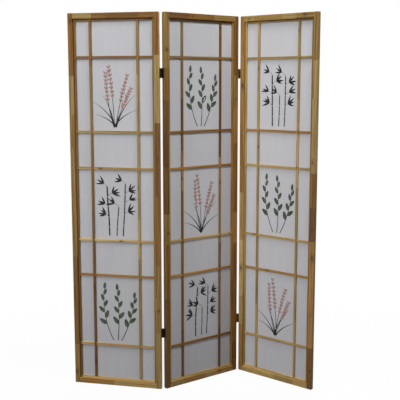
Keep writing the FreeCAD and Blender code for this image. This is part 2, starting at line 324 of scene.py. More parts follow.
def new_group(name, kind, inputs, outputs):
    """An empty node group with these sockets, and its node sheet."""
    tree = bpy.data.node_groups.new(name, kind)
    for way, sockets in (("INPUT", inputs), ("OUTPUT", outputs)):
        for socket, sort in sockets.items():
            tree.interface.new_socket(socket, in_out=way, socket_type="NodeSocket" + sort)
    return tree, NodeSheet(tree)


# Where the panels and their bars are

def mesh_points(mesh):
    """The points of a mesh, one row each."""
    flat = np.empty(len(mesh.vertices) * 3, dtype=np.float32)
    mesh.vertices.foreach_get("co", flat)
    return flat.reshape(-1, 3).astype(float)


def node_points(node):
    """The points of a CAD node, one row each."""
    return mesh_points(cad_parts[node].data)


def new_object(name, data):
    """A new object in the scene."""
    made = bpy.data.objects.new(name, data)
    bpy.context.scene.collection.objects.link(made)
    return made


class PanelPlace:
    """A panel's own axes: x along its width, y from its front to its back and z up."""

    def __init__(self, name):
        self.name = name
        self.body = name + "_panel"
        plan = node_points(name + "_paper_sheet")[:, :2]
        axes = np.linalg.svd(plan - plan.mean(axis=0), full_matrices=False)[2]
        right = axes[0] * np.sign(axes[0][0])
        self.right = np.array((right[0], right[1], 0.0))
        self.back = np.array((-right[1], right[0], 0.0))
        self.turn = math.atan2(right[1], right[0])
        self.corner = np.zeros(3)
        self.corner = self.own(node_points(name + "_left_stile")).min(axis=0)

    def own(self, points):
        """Points of the frame in the panel's own axes."""
        return np.column_stack((points @ self.right, points @ self.back, points[:, 2])) - self.corner

    def world(self, points):
        """Points of the panel's own axes back in the frame."""
        placed = points + self.corner
        upright = np.array((0.0, 0.0, 1.0))
        return placed[:, :1] * self.right + placed[:, 1:2] * self.back + placed[:, 2:] * upright

    def points(self, node):
        """A node's points in the panel's own axes."""
        return self.own(node_points(self.name + "_" + node))

    def box(self, node):
        """A node's lowest and highest corner in the panel's own axes."""
        points = self.points(node)
        return points.min(axis=0), points.max(axis=0)

    def gap_between_pair(self, node, axis):
        """The two inner edges of a node of two strips that face each other."""
        along = self.points(node)[:, axis]
        middle = (along.min() + along.max()) / 2
        return along[along < middle].max(), along[along > middle].min()

    def cell_spans(self, edges, bars, axis):
        """The clear spans between the edges and the bars, in order."""
        marks = [edges[0]]
        for bar in bars:
            low, high = self.box(bar)
            marks += [low[axis], high[axis]]
        marks.append(edges[1])
        return list(zip(marks[0::2], marks[1::2]))

    def columns(self):
        """The clear spans between the uprights, from left to right."""
        edges = self.gap_between_pair("lattice_side_strips", 0)
        return self.cell_spans(edges, ("lattice_left_upright", "lattice_right_upright"), 0)

    def rows(self):
        """The clear spans between the cross bars, from the lowest up."""
        edges = self.gap_between_pair("lattice_end_strips", 2)
        bars = [f"lattice_crossbar_{place}" for place in CROSSBARS]
        return self.cell_spans(edges, bars, 2)


def panel_axes(sheet, panel):
    """The panel's own x, y and z at the shaded point."""
    spot = sheet.add("ShaderNodeTexCoord", output="Object")
    turned = sheet.add(
        "ShaderNodeMapping", {"vector_type": "POINT"},
        {"Vector": spot, "Rotation": (0.0, 0.0, -panel.turn), "Location": tuple(-panel.corner)})
    return sheet.split(turned)


# Pine

FINGER_PITCH = 0.0055
FINGER_DEPTH = 0.009
GLUE_LINE = 0.0006
BLOCK_DRIFT = 0.28
BLOCK_MARGIN = 0.02
DARK_STREAK = (0.64, 0.56, 0.47)
STREAK_RANGE = (0.58, 0.34)
PINE_SPECULAR = 0.18
PINE_BUMP = (0.35, 0.0003)

# How much each of these changes the lightness of the pine
PLAIN_LIGHT = 0.80
FIGURE_LIGHT = 0.28
BLOCK_SPREAD = 0.20
RING_SHADE = 0.26
JOINT_SHADE = 0.30
HALO_SHADE = 0.35
END_SHADE = 0.22
# Edges made lighter: partly rubbed wear, partly a painted highlight of sheen
EDGE_RUB_AND_SHEEN = 0.16
# Painted shade: how dark the strips are made where the frame's shadow falls, how much less beside the left
# stile, and over what width
PAINTED_SHADE_DEPTH = 0.85
SIDE_PAINTED_SHADE = 0.4
PAINTED_SHADE_EDGES = (-0.0030, 0.0015)

# Noise across and along the grain, in waves to the metre
WANDER_SCALE = (24.0, 2.4)
FIBRE_SCALE = (1300.0, 26.0)
STREAK_SCALE = (170.0, 3.2)

# How much each of these changes the roughness of the varnish and the height of the grain
FIBRE_ROUGHNESS = (-0.06, 0.14)
END_ROUGHNESS = 0.10
EDGE_POLISH = 0.05
RING_HEIGHT = 0.5
FIBRE_HEIGHT = 0.6
JOINT_DEPTH = 1.2
KNOT_HEIGHT = 0.4

# How far the year rings wander, slant into the board, bend round a knot and shift from block to block
RING_WANDER = 5.0
RING_SLANT = 0.7
KNOT_PULL = 1.6
BLOCK_SHIFT = 13.0

# How late in its ring the dark wood comes
LATE_WOOD = 3.0

# A knot's smallest half width and what chance adds, the width of the strip it lies in, and its chance
KNOT_SIZE = (0.0024, 0.0030)
KNOT_STRIP = 0.012
KNOT_CHANCE = 0.34

# From where and over how much of its block a knot may lie, and how a distance along the grain counts for it
KNOT_PLACE = (0.2, 0.6)
KNOT_DRAW = 0.7

# Where a knot and the darker wood round it begin and are full, in half widths of the knot
KNOT_EDGES = (1.0, 0.55)
HALO_EDGES = (4.0, 0.8)

# Where a board's edge starts to be rubbed and to take a painted sheen, where both are full, and how far up a
# face of end grain looks
RUBBED_AND_SHEEN_EDGE = (0.0020, 0.0004)
END_FACING = (0.75, 0.95)

# Keys that keep the random choices apart, and steps that keep the boards apart
SHADE_KEY, FIGURE_KEY, KNOT_KEY, KNOT_SIZE_KEY = 3.0, 5.0, 7.0, 8.0
PANEL_STEP, PAIR_STEP = 17.0, 40.0

BOARD_INPUTS = ("Along", "Across", "Depth", "Block", "Part", "Length", "Board", "Edge", "End")

# Tones of each board's blocks on the left, middle and right panel, from the foot up or from left to right;
# of a pair, the tone of each strip
BOARD_TONES = {
    "left_stile": (
        "honey russet russet honey honey honey straw russet",
        "umber umber russet honey umber umber russet honey",
        "amber pale cream pale amber amber amber amber",
    ),
    "right_stile": (
        "straw honey honey russet umber umber straw russet",
        "umber russet russet amber russet amber honey russet",
        "umber amber amber umber russet straw straw honey",
    ),
    "bottom_rail": ("amber amber pale pale", "straw amber straw amber", "pale pale straw pale"),
    "top_rail": ("straw russet umber russet", "umber russet russet honey", "straw honey straw honey"),
    "lattice_side_strips": ("russet honey", "straw amber", "pale russet"),
    # The lower end strip's cream is partly painted light where the lamps from above catch it, and the upper
    # strip's darker tone is partly painted shade under the top rail
    "lattice_end_strips": ("cream russet", "cream umber", "cream honey"),
    "lattice_left_upright": (
        "umber umber umber russet honey russet",
        "umber russet russet amber umber honey",
        "pale straw straw straw pale pale",
    ),
    "lattice_right_upright": (
        "straw straw pale straw straw honey",
        "umber russet honey amber umber russet",
        "pale pale straw pale pale straw",
    ),
    "lattice_crossbar_1": ("cream", "russet", "pale"),
    "lattice_crossbar_2": ("amber", "amber", "amber"),
    "lattice_crossbar_3": ("cream", "cream", "pale"),
    "lattice_crossbar_4": ("pale", "amber", "pale"),
    "lattice_crossbar_5": ("straw", "russet", "amber"),
    "lattice_crossbar_6": ("russet", "honey", "straw"),
}


def pine_group(finish):
    """The look of one pine board, in the board's own measures."""
    inputs = {**dict.fromkeys(BOARD_INPUTS, "Float"), "Tone": "Color"}
    outputs = {"Color": "Color", "Roughness": "Float", "Height": "Float"}
    tree, sheet = new_group("honey_pine", "ShaderNodeTree", inputs, outputs)
    given = sheet.add("NodeGroupInput")
    along, across, depth, block, part, length, board, edge, end = [given.out(name) for name in BOARD_INPUTS]

    knot, halo = pine_knots(sheet, block, part, length, across, board)
    late, fibre, streak = pine_figure(sheet, finish, along, across, depth, block, board, halo)
    joint = ((0.5 - abs(part - 0.5)) * length).smooth(GLUE_LINE, 0.0)

    shade = sheet.luck(block, board, SHADE_KEY)[0]
    tone = sheet.scaled(given.out("Tone"), 1.0 + BLOCK_SPREAD * shade)
    tone = sheet.mix(streak.smooth(*STREAK_RANGE), tone, DARK_STREAK, "MULTIPLY")
    light = PLAIN_LIGHT + FIGURE_LIGHT * (fibre + streak)
    light = light * (1.0 - RING_SHADE * late) * (1.0 - JOINT_SHADE * joint) * (1.0 - HALO_SHADE * halo)
    # Lighter edges: rubbed wear and a painted highlight
    light = light * (1.0 + EDGE_RUB_AND_SHEEN * edge) * (1.0 - END_SHADE * end)
    colour = sheet.mix(knot, sheet.scaled(tone, light), finish.knot)
    roughness = finish.roughness + FIBRE_ROUGHNESS[0] + FIBRE_ROUGHNESS[1] * fibre
    roughness = roughness + END_ROUGHNESS * end - EDGE_POLISH * edge
    height = RING_HEIGHT * late + FIBRE_HEIGHT * fibre - JOINT_DEPTH * joint + KNOT_HEIGHT * knot
    sheet.add("NodeGroupOutput", None, {"Color": colour, "Roughness": roughness, "Height": height})
    return tree


def pine_blocks(sheet, along, depth, length, count, number):
    """Which finger-jointed block a point is in and how far along it, with fingers on the board's edges."""
    teeth = abs((depth / FINGER_PITCH).fraction() - 0.5) * 2.0
    place = (along + FINGER_DEPTH * teeth) / length
    wave = 2.0 * place + number
    place = place + BLOCK_DRIFT * wave.math("SINE", wave)
    place = sheet.add(
        "ShaderNodeClamp", None, {"Value": place, "Min": BLOCK_MARGIN, "Max": count - BLOCK_MARGIN})
    block = place.floor()
    return block, place - block


def pine_tone(sheet, tones, block, finish):
    """The tone of each block of a board."""
    stops = [(place / len(tones), opaque(getattr(finish, tone))) for place, tone in enumerate(tones)]
    return sheet.add("ShaderNodeValToRGB", {"stops": stops}, {"Fac": (block + 0.5) / len(tones)})


def painted_corner_shade(board, across, second):
    """Painted shade on the strip under the top rail, where the rail's shadow falls, and less of it beside
    the left stile, where the stile's shadow falls.
    """
    where = SIDE_PAINTED_SHADE * (1.0 - second) if board.upright else second
    return where * across.smooth(*PAINTED_SHADE_EDGES)


def pine_knots(sheet, block, part, length, across, board):
    """A small knot in some blocks, and the darker wood round it."""
    chance, side, spot = sheet.luck(block, board, KNOT_KEY)
    size = KNOT_SIZE[0] + KNOT_SIZE[1] * sheet.luck(block, board, KNOT_SIZE_KEY)[0]
    run = (part - KNOT_PLACE[0] - KNOT_PLACE[1] * spot) * length * KNOT_DRAW
    aside = across - KNOT_STRIP * (side - 0.5)
    gap = (run * run + aside * aside) ** 0.5
    there = chance.above(1.0 - KNOT_CHANCE)
    return [there * gap.smooth(start * size, full * size) for start, full in (KNOT_EDGES, HALO_EDGES)]


def pine_figure(sheet, finish, along, across, depth, block, board, halo):
    """The dark edges of the year rings, fine fibres and long soft streaks."""
    shift = BLOCK_SHIFT * sheet.luck(block, board, FIGURE_KEY)[0]

    def grain(across_scale, along_scale, detail=2.0):
        """Noise drawn out along the board."""
        place = sheet.vector(across * across_scale + shift, depth * across_scale, along * along_scale)
        return sheet.noise(place, detail)

    ring = (across + RING_SLANT * depth) / finish.ring_spacing
    ring = ring + RING_WANDER * grain(*WANDER_SCALE) + KNOT_PULL * halo + shift
    late = ring.fraction() ** LATE_WOOD
    return late, grain(*FIBRE_SCALE), grain(*STREAK_SCALE, detail=3.0)


class Board(NamedTuple):
    """A board or a pair of strips: its node, the way of its grain and its number."""
    node: str
    upright: bool
    number: int
    pair: bool = False


FRAME_BOARDS = (
    Board("left_stile", True, 1),
    Board("right_stile", True, 2),
    Board("bottom_rail", False, 3),
    Board("top_rail", False, 4),
)
LATTICE_BOARDS = (
    Board("lattice_side_strips", True, 5, pair=True),
    Board("lattice_end_strips", False, 6, pair=True),
    Board("lattice_left_upright", True, 7),
    Board("lattice_right_upright", True, 8),
    *(Board(f"lattice_crossbar_{place}", False, 8 + place) for place in CROSSBARS),
)


def board_material(panel, board, pine, finish):
    """Pine that runs along one board of one panel."""
    material, sheet = new_material(f"pine_{panel.name}_{board.node}")
    x, y, z = panel_axes(sheet, panel)
    along, across = (z, x) if board.upright else (x, z)
    axis = 0 if board.upright else 2
    low, high = panel.box(board.node)
    middle = (low + high) / 2
    half = (high - low) / 2
    place = PANEL_NAMES.index(panel.name)
    number = PANEL_STEP * place + board.number
    across = across - middle[axis]
    second = 0.0
    half_across = half[axis]
    if board.pair:
        inner = panel.gap_between_pair(board.node, axis)
        second = across.above(0.0)
        number = number + PAIR_STEP * second
        half_across = (inner[0] - low[axis]) / 2
        across = abs(across) - (half[axis] - half_across)
    depth = y - middle[1]
    tones = BOARD_TONES[board.node][place].split()
    count = len(tones) // 2 if board.pair else len(tones)
    length = 2 * half[2 - axis] / count
    block, part = pine_blocks(sheet, along - low[2 - axis], depth, length, count, number)
    block = block + count * second
    tone = pine_tone(sheet, tones, block, finish)
    if board.pair:
        # Painted shade under the top rail and beside the left stile
        tone = sheet.scaled(tone, 1.0 - PAINTED_SHADE_DEPTH * painted_corner_shade(board, across, second))
    rim = (half_across - abs(across)).larger(half[1] - abs(depth))
    edge = rim.smooth(*RUBBED_AND_SHEEN_EDGE)
    facing = sheet.split(sheet.add("ShaderNodeTexCoord", output="Normal"))[2]
    end = abs(facing).smooth(*END_FACING) if board.upright else 0.0
    look = sheet.add(
        "ShaderNodeGroup", {"node_tree": pine},
        {"Along": along, "Across": across, "Depth": depth, "Block": block, "Part": part, "Length": length,
         "Board": number, "Edge": edge, "End": end, "Tone": tone})
    finish_surface(sheet, PINE_SPECULAR, {
        "Base Color": look.out("Color"),
        "Roughness": look.out("Roughness"),
        "Normal": sheet.bump(look.out("Height"), *PINE_BUMP),
    })
    return material


def wear(node, material):
    """Gives a CAD node's object one material."""
    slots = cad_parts[node].data.materials
    slots.clear()
    slots.append(material)


def finish_boards(boards, finish):
    """Pine on these boards of every panel."""
    pine = bpy.data.node_groups.get("honey_pine") or pine_group(finish)
    for panel in map(PanelPlace, PANEL_NAMES):
        for board in boards:
            wear(f"{panel.name}_{board.node}", board_material(panel, board, pine, finish))


# Paper

GRID_STEP = 0.014
RIM = 0.0015
RIPPLE_SHARE = (0.3, 1.0)
RIPPLE_SPACING = (0.055, 0.110)
RIPPLE_SLANT = 65.0
BAR_SHADE = (0.300, 0.235, 0.150)
BAR_SHADE_SHARE = 0.30
PAPER_SPECULAR = 0.25
PAPER_ROUGHNESS = (0.72, 0.2)
PAPER_BUMP = (0.25, 0.0002)
STRAND_EDGES = (0.028, 0.006)

# How much bands and strands count beside the fine streaks, how much clouds change the lightness,
# and a step that keeps the sheets apart
BAND_WEIGHT = 2.0
STRAND_WEIGHT = 0.5
CLOUD_LIGHT = 0.04
SHEET_STEP = 3.0

# Noise across and up the paper, in waves to the metre
PAPER_STREAKS = (420.0, 14.0)
PAPER_BANDS = (95.0, 4.0)
PAPER_CLOUDS = (9.0, 7.0)
PAPER_STRANDS = 60.0


class PaperRelief:
    """How far the paper stands back: it swells and ripples in each cell and is flat on the bars."""

    def __init__(self, panel, finish):
        dice = random.Random("paper " + panel.name)
        self.cells = []
        for x_span in panel.columns():
            for z_span in panel.rows():
                swell = finish.bulge * dice.uniform(-1.0, 1.0)
                ripple = finish.ripple * dice.uniform(*RIPPLE_SHARE)
                slant = math.radians(dice.uniform(-RIPPLE_SLANT, RIPPLE_SLANT))
                spacing = dice.uniform(*RIPPLE_SPACING)
                phase = dice.uniform(0.0, math.tau)
                self.cells.append((x_span, z_span, swell, ripple, slant, spacing, phase))

    def at(self, x, z):
        """The stand-back at points of the panel."""
        total = np.zeros_like(x)
        for x_span, z_span, swell, ripple, slant, spacing, phase in self.cells:
            u = np.clip((x - x_span[0]) / (x_span[1] - x_span[0]), 0.0, 1.0)
            v = np.clip((z - z_span[0]) / (z_span[1] - z_span[0]), 0.0, 1.0)
            window = 16.0 * u * (1.0 - u) * v * (1.0 - v)
            wave = np.sin(math.tau * (x * math.cos(slant) + z * math.sin(slant)) / spacing + phase)
            total += window * (swell + ripple * wave)
        return total


def grid_marks(low, high, spans):
    """Grid lines from low to high that fall on every cell edge and just inside it."""
    edges = [mark for start, end in spans for mark in (start, start + RIM, end - RIM, end)]
    stops = sorted({low, high, *edges})
    marks = [low]
    for start, end in zip(stops, stops[1:]):
        count = max(1, round((end - start) / GRID_STEP))
        marks += [start + (end - start) * (step + 1) / count for step in range(count)]
    return np.array(marks)


def within(values, spans):
    """1 where a value is inside one of the spans, else 0."""
    inside = np.zeros_like(values)
    for low, high in spans:
        inside[(values > low + RIM / 3) & (values < high - RIM / 3)] = 1.0
    return inside


def paper_mesh(panel, relief):
    """A closed thin sheet, its front against the lattice, with a mark where a bar lies on it."""
    low, high = panel.box("paper_sheet")
    xs = grid_marks(low[0], high[0], panel.columns())
    zs = grid_marks(low[2], high[2], panel.rows())
    x, z = (part.ravel() for part in np.meshgrid(xs, zs))
    stand = relief.at(x, z)
    front = np.column_stack((x, low[1] + stand, z))
    back = np.column_stack((x, high[1] + stand, z))
    points = panel.world(np.vstack((front, back)))
    faces = sheet_faces(len(xs), len(zs))
    mesh = bpy.data.meshes.new(panel.name + "_paper")
    mesh.from_pydata(points.tolist(), [], faces)
    open_paper = within(x, panel.columns()) * within(z, panel.rows())
    backed = mesh.attributes.new("backed", "FLOAT", "POINT")
    backed.data.foreach_set("value", np.tile(1.0 - open_paper, 2).astype(np.float32))
    mesh.shade_smooth()
    return mesh


def sheet_faces(columns, rows):
    """Quads of a front grid, a back grid behind it and the four edges between them."""
    behind = columns * rows
    faces = []
    for row in range(rows - 1):
        for column in range(columns - 1):
            first = row * columns + column
            quad = (first, first + 1, first + columns + 1, first + columns)
            faces.append(quad)
            faces.append(tuple(corner + behind for corner in reversed(quad)))
    bottom = list(range(columns))
    right = [row * columns + columns - 1 for row in range(rows)]
    top = [(rows - 1) * columns + column for column in reversed(range(columns))]
    left = [row * columns for row in reversed(range(rows))]
    rim = bottom + right[1:] + top[1:] + left[1:]
    for start, end in zip(rim, rim[1:]):
        faces.append((end, start, start + behind, end + behind))
    return faces


def paper_material(panel, finish):
    """Pale paper with upright fibres, faint strands and the bars' shade where they lie on it."""
    material, sheet = new_material("paper_" + panel.name)
    x, y, z = panel_axes(sheet, panel)
    shift = SHEET_STEP * PANEL_NAMES.index(panel.name)

    def fleck(across_scale, up_scale, detail):
        """Noise drawn out across or up the sheet."""
        return sheet.noise(sheet.vector(x * across_scale + shift, y, z * up_scale), detail)

    streak = fleck(*PAPER_STREAKS, detail=3.0)
    band = fleck(*PAPER_BANDS, detail=3.0)
    cloud = fleck(*PAPER_CLOUDS, detail=2.0)
    place = sheet.vector(x * PAPER_STRANDS, y, z * PAPER_STRANDS + shift)
    weave = sheet.noise(place, detail=4.0, roughness=0.65)
    strand = abs(weave - 0.5).smooth(*STRAND_EDGES)
    backed = sheet.add("ShaderNodeAttribute", {"attribute_name": "backed"}, None, "Fac")
    fibres = streak - 0.5 + BAND_WEIGHT * (band - 0.5) + STRAND_WEIGHT * strand
    light = 1.0 + finish.fibre * fibres + CLOUD_LIGHT * (cloud - 0.5)
    shaded = sheet.mix(BAR_SHADE_SHARE * backed, finish.colour, BAR_SHADE)
    finish_surface(sheet, PAPER_SPECULAR, {
        "Base Color": sheet.scaled(shaded, light),
        "Roughness": PAPER_ROUGHNESS[0] + PAPER_ROUGHNESS[1] * streak,
        "Normal": sheet.bump(0.5 * (streak + strand), *PAPER_BUMP),
    })
    return material


def add_piece(name, mesh, panel):
    """A finished mesh as a piece that rides on its panel."""
    piece = new_object(name, mesh)
    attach(piece, panel.body)
    return piece


def stretch_paper(panel, finish):
    """One panel's paper sheet in place of its plain solid."""
    relief = PaperRelief(panel, finish)
    mesh = paper_mesh(panel, relief)
    mesh.materials.append(paper_material(panel, finish))
    low, high = panel.box("paper_sheet")
    piece = add_piece(panel.name + "_paper", mesh, panel)
    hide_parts(panel.name + "_paper_sheet")
    high[0] - low[0]
    high[2] - low[2]


# Ink prints

# How far each ink thins towards white
INK_SPREADS = {"black": 0.02, "green": 0.06, "rose": 0.16, "pale": 0.10}
INKS = tuple(INK_SPREADS)
INK_POOLS = 55.0
INK_GRAIN = 900.0
INK_ROUGHNESS = (0.62, 0.2)

# Where ink starts to thin and is thinnest, in pools and in its grain, and the share that the pools have
POOL_EDGES = (0.35, 0.75)
GRAIN_EDGES = (0.45, 0.8)
POOL_SHARE = 0.7

BLADE, OVAL, SEED = 1, 2, 3
LEAF_SHAPES = {BLADE: (0.55, 0.30), OVAL: (0.22, 0.16), SEED: (0.0, 0.05)}
LEAF_SIDES = 14
LEAF_THICKNESS = 0.0002

# Cross section of a stroke, in half widths
STROKE_PROFILE = {"Width": 0.2, "Height": 2.0}

# How far strokes and leaves stand off the paper, what chance adds to a leaf, and where backs are, in lifts
STEM_LIFT, LEAF_LIFT, VEIN_LIFT = 1.0, 1.5, 2.6
LEAF_LIFT_SPREAD = 0.9
BACK_LIFT = 0.1

# Height of the feet of all stems, from the middle of the cell
FOOT = -0.150

# Half widths of each kind of stroke, where it starts and where it ends
VEIN = (0.0004, 0.0002)
TWIG = (0.0009, 0.0006)
BRANCH = (0.0022, 0.0009)
GRASS_BLADE = (0.0034, 0.0004)
SEED_STEM = (0.0018, 0.0009)

# Points of a vein, as shares of its leaf's length
VEIN_PLACES = (0.04, 0.45, 0.86)


class Sprig:
    """A drawing of stems and leaves on the plane of the paper, x to the right and z up."""

    def __init__(self, seed):
        self.dice = random.Random(seed)
        self.points = []
        self.edges = []
        self.marks = []

    def put(self, x, z, half_width, ink, lift, kind=0, turn=0.0, size=(0.0, 0.0)):
        """One point of the drawing with all that is known about it."""
        self.points.append((x, 0.0, z))
        self.marks.append((half_width, INKS.index(ink), lift, kind, turn, *size))

    def stroke(self, path, widths, ink="black", lift=STEM_LIFT):
        """A brush stroke through the points of a path, from one half width to another."""
        first = len(self.points)
        start_width, end_width = widths
        for step, (x, z) in enumerate(path):
            share = step / (len(path) - 1)
            self.put(x, z, start_width + (end_width - start_width) * share, ink, lift)
        self.edges += [(first + step, first + step + 1) for step in range(len(path) - 1)]

    def leaf(self, x, z, turn, length, width, kind, ink):
        """A leaf that starts at a point and turns away from upright."""
        lift = LEAF_LIFT + self.dice.uniform(0.0, LEAF_LIFT_SPREAD)
        self.put(x, z, 0.0, ink, lift, kind, turn, (width, length))

    def veined_leaf(self, x, z, turn, length, width):
        """A broad leaf with a pale vein down its middle."""
        self.leaf(x, z, turn, length, width, OVAL, "green")
        reach = [(x + share * length * math.sin(turn), z + share * length * math.cos(turn))
                 for share in VEIN_PLACES]
        self.stroke(reach, VEIN, "pale", VEIN_LIFT)


def arc_path(start, turn, bend, length, steps):
    """Points along a stem that starts at a turn from upright and bends as it goes."""
    x, z = start
    path = [(x, z)]
    for step in range(steps):
        heading = turn + bend * (step + 0.5) / steps
        x += math.sin(heading) * length / steps
        z += math.cos(heading) * length / steps
        path.append((x, z))
    return path


def heading_at(path, place):
    """The turn from upright of a path at one of its points."""
    (x0, z0), (x1, z1) = path[max(place - 1, 0)], path[min(place + 1, len(path) - 1)]
    return math.atan2(x1 - x0, z1 - z0)


# Foot, lean, half width and joints of each cane: at a joint a tuft of leaves to the left or right, or none
CANES = (
    (-0.034, -0.02, 0.0036, "-<<><"),
    (0.002, 0.05, 0.0026, "--<"),
    (0.034, 0.05, 0.0030, "->>><"),
)

# Shortest and longest stretch between joints, gap at a joint, bend, taper and sway of a cane
CANE_JOINT = (0.040, 0.052)
JOINT_GAP = 0.0022
CANE_BEND, CANE_TAPER, CANE_SWAY = 0.02, 0.92, 0.05

# Shortest and longest twig, leaf and leaf width in a tuft, and the turn and bend of the twig
TWIG_LENGTH = (0.018, 0.030)
CANE_LEAF_LENGTH = (0.034, 0.046)
CANE_LEAF_WIDTH = (0.008, 0.010)
TWIG_TURN, TWIG_BEND = 0.7, 0.5

# Turn of a tuft's first leaf, what each leaf after it adds, what each leaf of the tuft takes off, and sway
FAN_TURN, FAN_STEP, FAN_LIFT, FAN_SWAY = 1.3, 0.55, 0.25, 0.15


def cane_stand(sprig):
    """Jointed canes with tufts of narrow leaves, all in black."""
    dice = sprig.dice
    for base, lean, thick, joints in CANES:
        x, z = base, FOOT
        turn = lean
        for joint, tuft in enumerate(joints):
            path = arc_path((x, z), turn, CANE_BEND, dice.uniform(*CANE_JOINT), 3)
            sprig.stroke(path, (thick, thick * CANE_TAPER))
            x, z = path[-1]
            z += JOINT_GAP
            turn += dice.uniform(-CANE_SWAY, CANE_SWAY)
            if tuft != "-":
                leaf_tuft(sprig, x, z, -1 if tuft == "<" else 1, 3 + joint % 2)


def leaf_tuft(sprig, x, z, side, count):
    """A twig to one side with a fan of hanging narrow leaves."""
    dice = sprig.dice
    path = arc_path((x, z), side * TWIG_TURN, side * TWIG_BEND, dice.uniform(*TWIG_LENGTH), 4)
    sprig.stroke(path, TWIG)
    tip_x, tip_z = path[-1]
    for blade in range(count):
        fan = FAN_TURN + FAN_STEP * blade - FAN_LIFT * count
        turn = side * fan + dice.uniform(-FAN_SWAY, FAN_SWAY)
        length = dice.uniform(*CANE_LEAF_LENGTH)
        width = dice.uniform(*CANE_LEAF_WIDTH)
        sprig.leaf(tip_x, tip_z, turn, length, width, BLADE, "black")


# Foot, first turn, bend and length of each branch
BRANCHES = (
    (-0.022, -0.48, 0.62, 0.262),
    (0.000, 0.10, -0.20, 0.250),
    (0.018, 0.52, -0.44, 0.225),
)
BRANCH_STEPS = 9

# Place of the lowest leaf, how far leaves open and what each place takes off that, and sway
FIRST_LEAF = 3
LEAF_OPEN, LEAF_CLOSE, LEAF_SWAY = 0.85, 0.06, 0.10

# Length of a leaf, what each place takes off it, its width to its length, and the size of the last leaf
LEAF_LENGTH, LEAF_LESS, LEAF_WIDTH = 0.052, 0.0024, 0.46
LAST_LEAF = (0.034, 0.015)


def leafy_branch(sprig):
    """Bent stems with broad green leaves by turns."""
    dice = sprig.dice
    for base, turn, bend, length in BRANCHES:
        path = arc_path((base, FOOT), turn, bend, length, BRANCH_STEPS)
        sprig.stroke(path, BRANCH)
        for place in range(FIRST_LEAF, BRANCH_STEPS):
            x, z = path[place]
            side = -1 if place % 2 else 1
            away = LEAF_OPEN - LEAF_CLOSE * place + dice.uniform(-LEAF_SWAY, LEAF_SWAY)
            size = LEAF_LENGTH - LEAF_LESS * place
            sprig.veined_leaf(x, z, heading_at(path, place) + side * away, size, LEAF_WIDTH * size)
        x, z = path[-1]
        sprig.veined_leaf(x, z, heading_at(path, BRANCH_STEPS), *LAST_LEAF)


# First turn, bend and length of each blade and of each stem with seeds
BLADES = (
    (-0.70, -0.70, 0.12),
    (-0.42, -0.70, 0.17),
    (-0.12, -0.45, 0.16),
    (0.26, 0.60, 0.18),
    (0.60, 0.70, 0.14),
)
SEED_STEMS = (
    (-0.30, 0.30, 0.25),
    (-0.02, -0.14, 0.275),
    (0.16, 0.16, 0.24),
    (0.40, 0.05, 0.19),
)
BLADE_STEPS, SEED_STEM_STEPS = 8, 14

# How far from the middle a blade and a stem with seeds may start
BLADE_SPREAD, SEED_STEM_SPREAD = 0.008, 0.006

# Place of the lowest seeds, how far they turn from the stem, their length and their width to their length
FIRST_SEED = 7
SEED_TURN = (0.45, 0.75)
SEED_LENGTH = (0.015, 0.019)
SEED_WIDTH = 0.42


def seeding_grass(sprig):
    """A tuft of bent blades with tall stems that carry small rose seeds."""
    dice = sprig.dice
    for turn, bend, length in BLADES:
        base = dice.uniform(-BLADE_SPREAD, BLADE_SPREAD)
        path = arc_path((base, FOOT), turn, bend, length, BLADE_STEPS)
        sprig.stroke(path, GRASS_BLADE)
    for turn, bend, length in SEED_STEMS:
        base = dice.uniform(-SEED_STEM_SPREAD, SEED_STEM_SPREAD)
        path = arc_path((base, FOOT), turn, bend, length, SEED_STEM_STEPS)
        sprig.stroke(path, SEED_STEM)
        for place in range(FIRST_SEED, len(path)):
            x, z = path[place]
            for side in (-1, 1):
                away = heading_at(path, place) + side * dice.uniform(*SEED_TURN)
                size = dice.uniform(*SEED_LENGTH)
                sprig.leaf(x, z, away, size, SEED_WIDTH * size, SEED, "rose")


MOTIFS = {"canes": cane_stand, "leaves": leafy_branch, "grass": seeding_grass}
PRINT_ORDER = {
    "left": ("grass", "canes", "leaves"),
    "middle": ("leaves", "grass", "canes"),
    "right": ("canes", "leaves", "grass"),
}
POINT_MARKS = ("half_width", "ink", "lift", "kind", "turn", "leaf_width", "leaf_length")


def drawing_mesh(name, sprig):
    """The drawing as points and lines that carry their marks."""
    mesh = bpy.data.meshes.new(name)
    mesh.from_pydata(sprig.points, sprig.edges, [])
    marks = np.array(sprig.marks, dtype=np.float32)
    for column, mark in enumerate(POINT_MARKS):
        mesh.attributes.new(mark, "FLOAT", "POINT").data.foreach_set("value", marks[:, column].copy())
    return mesh


def named_mark(sheet, name):
    """A mark that the drawing's points carry."""
    return sheet.add("GeometryNodeInputNamedAttribute", {"data_type": "FLOAT"}, {"Name": name}, "Attribute")


def is_equal(sheet, value, number):
    """True where a value is this number."""
    settings = {"data_type": "FLOAT", "operation": "EQUAL"}
    return sheet.add("FunctionNodeCompare", settings, {0: value, 1: float(number)})


def leaf_shape(sheet, sides, point, belly):
    """A thin closed leaf of unit length: more point is sharper, more belly is wider near its foot."""
    sizes = {"Vertices": sides, "Radius": 1.0, "Depth": 1.0}
    disc = sheet.add("GeometryNodeMeshCylinder", None, sizes, "Mesh")
    x, y, z = sheet.split(sheet.add("GeometryNodeInputPosition"))
    across = 0.5 * x * abs(x) ** point * (1.0 - belly * y)
    place = sheet.vector(across, 0.5 * y + 0.5, z)
    return sheet.add("GeometryNodeSetPosition", None, {"Geometry": disc, "Position": place})


